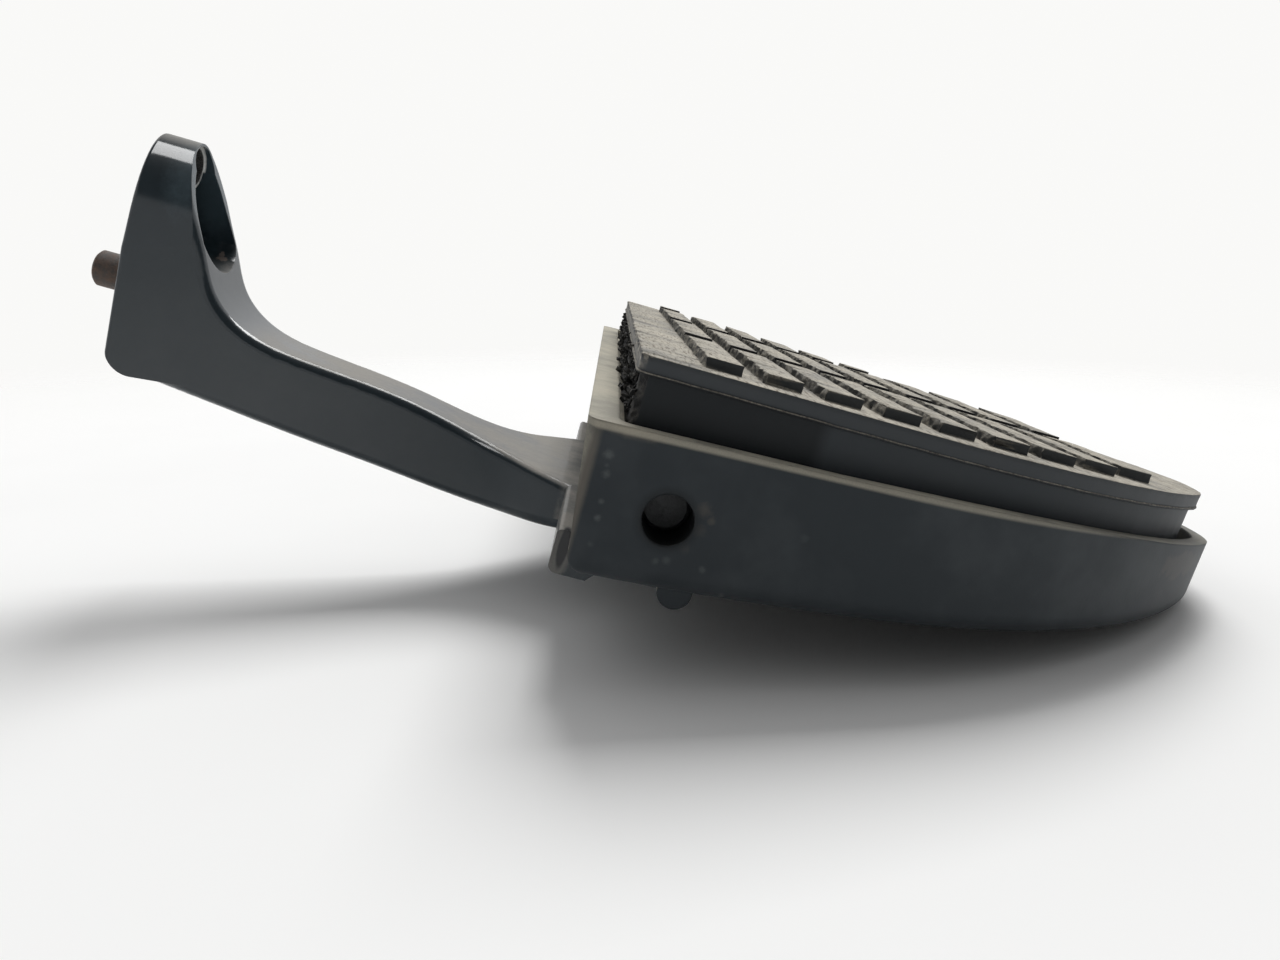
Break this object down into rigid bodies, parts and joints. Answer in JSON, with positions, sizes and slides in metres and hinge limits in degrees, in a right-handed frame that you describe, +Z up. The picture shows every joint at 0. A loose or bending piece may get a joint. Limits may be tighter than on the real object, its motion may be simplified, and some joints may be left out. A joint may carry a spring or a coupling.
{
  "type": "passenger floorboard",
  "caption": "Folding motorcycle passenger floorboard: a cast arm with a drilled mounting boss carries a D-shaped cast tray on a hinge pin, with a ribbed rubber mat on top.",
  "frame": {"origin": "centre of the frame-bolt hole on the arm's mounting face", "axes": "+X from the mounting face outward to the board, along the bolt; +Y along the hinge pin, to the board's long end; +Z up in the fitted pose"},
  "size_m": [0.2878, 0.2439, 0.067],
  "materials": {
    "arm_paint": "satin dark paint on a casting, chipped at the edges",
    "tray_paint": "matt dark paint on a casting, scuffed",
    "rusty_pin": "rusted",
    "bush": "plain bronze",
    "pin_steel": "ground",
    "spring_steel": "blackened",
    "plate_steel": "plain",
    "mat_rubber": "matt, dusty",
    "fastener_steel": "zinc plated"
  },
  "bodies": {
    "arm": {"arm": "arm_paint", "locating_pin": "rusty_pin", "bush_near": "bush", "bush_far": "bush"},
    "board": {"tray": "tray_paint", "pivot_pin": "pin_steel", "pivot_clip": "spring_steel", "wave_washer": "spring_steel", "mat_plate": "plate_steel", "mat": "mat_rubber", "mat_washer_1": "fastener_steel", "mat_washer_2": "fastener_steel", "mat_washer_3": "fastener_steel", "mat_washer_4": "fastener_steel", "mat_washer_5": "fastener_steel", "mat_washer_6": "fastener_steel", "mat_nut_1": "fastener_steel", "mat_nut_2": "fastener_steel", "mat_nut_3": "fastener_steel", "mat_nut_4": "fastener_steel", "mat_nut_5": "fastener_steel", "mat_nut_6": "fastener_steel"}
  },
  "joints": [
    {"name": "board_fold", "type": "hinge", "parent": "arm", "child": "board", "pos_m": [0.1355, 0, -0.0365], "axis": [0, -1, 0], "range_deg": [0, 50]}
  ]
}
